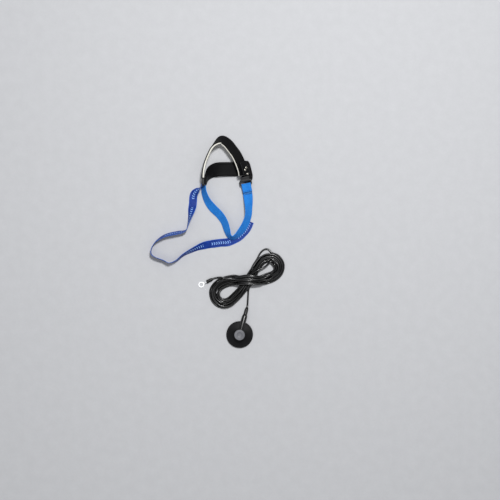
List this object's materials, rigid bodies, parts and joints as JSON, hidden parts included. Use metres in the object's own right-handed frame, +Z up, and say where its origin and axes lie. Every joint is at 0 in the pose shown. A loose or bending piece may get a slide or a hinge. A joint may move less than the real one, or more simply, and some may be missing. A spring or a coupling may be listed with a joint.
{
  "type": "esd grounding strap",
  "caption": "Elastic foot grounding strap with rubber heel cup and conductive ribbon, and a coiled ground cord with snap disc and ring terminal.",
  "frame": {"origin": "centre of the footprint of the strap and its snap disc, on the surface they lie on", "axes": "+Y from the snap disc towards the heel cup, +X towards the riveted side of the strap, +Z up"},
  "size_m": [0.2, 0.3184, 0.0211],
  "materials": {
    "rubber_black": "matt moulded rubber",
    "lining_pale": "pale conductive lining",
    "rivet_nickel": "nickel plated",
    "webbing_black": "black woven webbing",
    "ring_black": "black coated wire",
    "elastic_blue": "blue knitted elastic",
    "hook_blue": "hook tape",
    "loop_blue": "loop tape",
    "tab_black": "moulded rubber",
    "resistor_body": "lacquered resistor",
    "ribbon_navy": "woven ribbon with conductive threads",
    "disc_rubber": "soft rubber ring",
    "disc_black": "fine textured moulding",
    "snap_metal": "pressed and plated",
    "spring_wire": "spring wire",
    "plug_black": "moulded",
    "cap_grey": "grey moulded cap",
    "relief_black": "flexible moulding",
    "cord_black": "smooth cable jacket",
    "sleeve_black": "shrunk sleeve",
    "terminal_tin": "tinned copper"
  },
  "bodies": {
    "root": {"heel_band": "rubber_black", "heel_lining": "lining_pale", "sole_band": "rubber_black", "side_tab_right": "rubber_black", "anchor_patch": "rubber_black", "anchor_rivets": "rivet_nickel", "anchor_loop": "webbing_black", "strap_ring": "ring_black", "strap_fold": "elastic_blue", "loop_patch": "loop_blue", "instep_strap_right": "elastic_blue", "instep_strap_left": "elastic_blue", "side_tab_left": "tab_black", "tab_rivet": "rivet_nickel", "ribbon_resistor": "resistor_body", "ribbon": "ribbon_navy", "plug_housing": "plug_black", "plug_socket": "snap_metal", "plug_cap": "cap_grey", "plug_resistor": "resistor_body", "strain_relief": "relief_black", "cord_lead": "cord_black", "cord_hank": "cord_black", "cord_loop": "cord_black", "cord_tail": "cord_black", "terminal_sleeve": "sleeve_black", "ring_terminal": "terminal_tin"},
    "tail": {"strap_tail": "elastic_blue", "hook_patch": "hook_blue"},
    "grip": {"snap_spring": "spring_wire"},
    "disc": {"disc_pad": "disc_rubber", "disc_cover": "disc_black", "mat_socket": "snap_metal", "mat_spring": "spring_wire", "disc_stud": "snap_metal"}
  },
  "joints": [
    {"name": "tail_peel", "type": "hinge", "parent": "root", "child": "tail", "pos_m": [0.0662, 0.085, 0.0053], "axis": [-0.9781, -0.2079, 0], "range_deg": [0, 105]},
    {"name": "disc_spin", "type": "hinge", "parent": "root", "child": "grip", "pos_m": [0.0565, -0.1392, 0.0088], "axis": [0, 0, 1], "continuous": true},
    {"name": "disc_release", "type": "slide", "parent": "grip", "child": "disc", "axis": [0, 0, -1], "range_m": [0, 0.005]}
  ]
}
